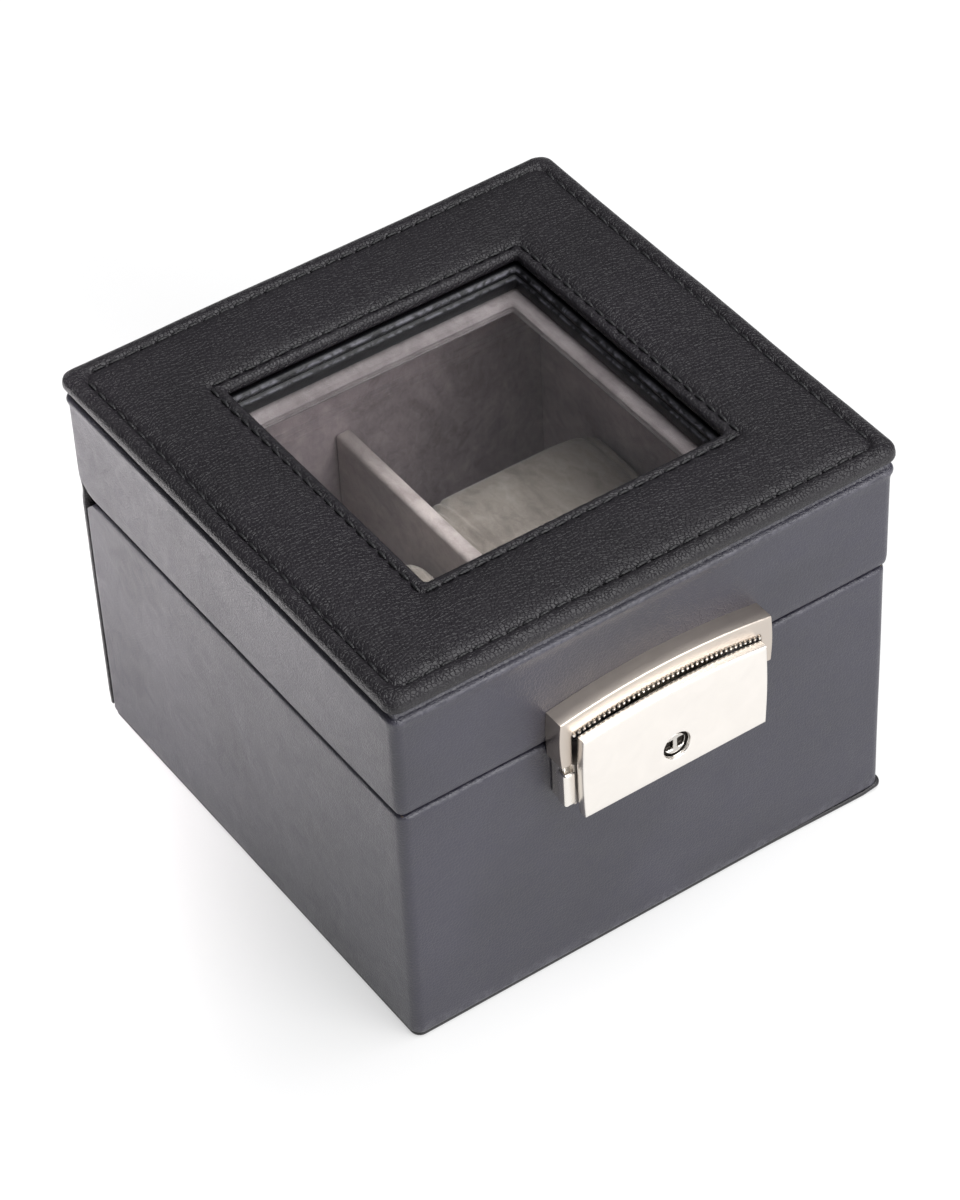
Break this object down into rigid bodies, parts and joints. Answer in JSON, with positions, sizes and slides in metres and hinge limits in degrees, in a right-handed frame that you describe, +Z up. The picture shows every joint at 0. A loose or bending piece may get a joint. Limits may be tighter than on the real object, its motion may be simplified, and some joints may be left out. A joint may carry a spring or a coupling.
{
  "type": "watch storage box",
  "caption": "Leather-covered watch box with a window lid on a rear hinge, a nickel front lock, a suede-lined base with a divider, and lift-out watch pillows.",
  "frame": {"origin": "middle of the underside, on the surface that the box stands on", "axes": "+Z up, -Y towards the front with the lock, +X to the right seen from the front"},
  "size_m": [0.1288, 0.1362, 0.1016],
  "materials": {
    "leather": "smooth grained black leather, satin",
    "board": "raw fibreboard",
    "suede": "grey brushed suede",
    "pillow_suede": "light grey brushed suede",
    "foam": "soft foam",
    "glass": "clear",
    "nickel": "satin nickel plate",
    "steel": "plain steel",
    "chrome": "polished"
  },
  "bodies": {
    "base": {"base_leather": "leather", "spine_leather_lower": "leather", "bottom_cover": "leather", "base_front_board": "board", "base_back_board": "board", "base_left_board": "board", "base_right_board": "board", "base_floor_board": "board", "floor_liner": "suede", "base_front_liner": "suede", "base_back_liner": "suede", "base_left_liner": "suede", "base_right_liner": "suede", "divider": "suede", "hinge_lower_leaf_left": "steel", "hinge_lower_leaf_right": "steel", "hinge_pins": "steel", "hinge_screws_lower": "steel", "lock_case_screws": "steel", "return_springs": "steel", "lock_case": "nickel"},
    "lid": {"lid_front_board": "board", "lid_back_board": "board", "lid_left_board": "board", "lid_right_board": "board", "lid_top_board": "board", "lid_leather": "leather", "top_pad_foam": "foam", "top_pad_leather": "leather", "window_trim": "leather", "window_pane": "glass", "lid_lining_frame": "suede", "lid_front_liner": "suede", "lid_back_liner": "suede", "lid_left_liner": "suede", "lid_right_liner": "suede", "spine_leather_upper": "leather", "hinge_upper_leaf_left": "steel", "hinge_upper_leaf_right": "steel", "hinge_screws_upper": "steel", "strike_frame": "nickel", "strike_tongue": "steel", "strike_screws": "steel"},
    "lock_plate": {"lock_plate": "nickel", "latch_slider": "steel", "plate_rivets": "steel"},
    "lock_barrel": {"lock_barrel": "chrome", "lock_cam": "steel"},
    "left_pillow": {"left_pillow": "pillow_suede"},
    "right_pillow": {"right_pillow": "pillow_suede"}
  },
  "joints": [
    {"name": "lid_hinge", "type": "hinge", "parent": "base", "child": "lid", "pos_m": [0, 0.0602, 0.0681], "axis": [-1, 0, 0], "range_deg": [0, 100]},
    {"name": "plate_press", "type": "slide", "parent": "base", "child": "lock_plate", "axis": [0, 0, -1], "range_m": [0, 0.0015], "stiffness_N_per_m": 600, "springref_m": -0.002, "deforming": ["return_springs"]},
    {"name": "barrel_turn", "type": "hinge", "parent": "lock_plate", "child": "lock_barrel", "pos_m": [0, -0.07, 0.0584], "axis": [0, -1, 0], "range_deg": [0, 90]},
    {"name": "left_pillow_lift", "type": "slide", "parent": "base", "child": "left_pillow", "axis": [0, 0, 1], "range_m": [0, 0.033]},
    {"name": "right_pillow_lift", "type": "slide", "parent": "base", "child": "right_pillow", "axis": [0, 0, 1], "range_m": [0, 0.033]}
  ]
}
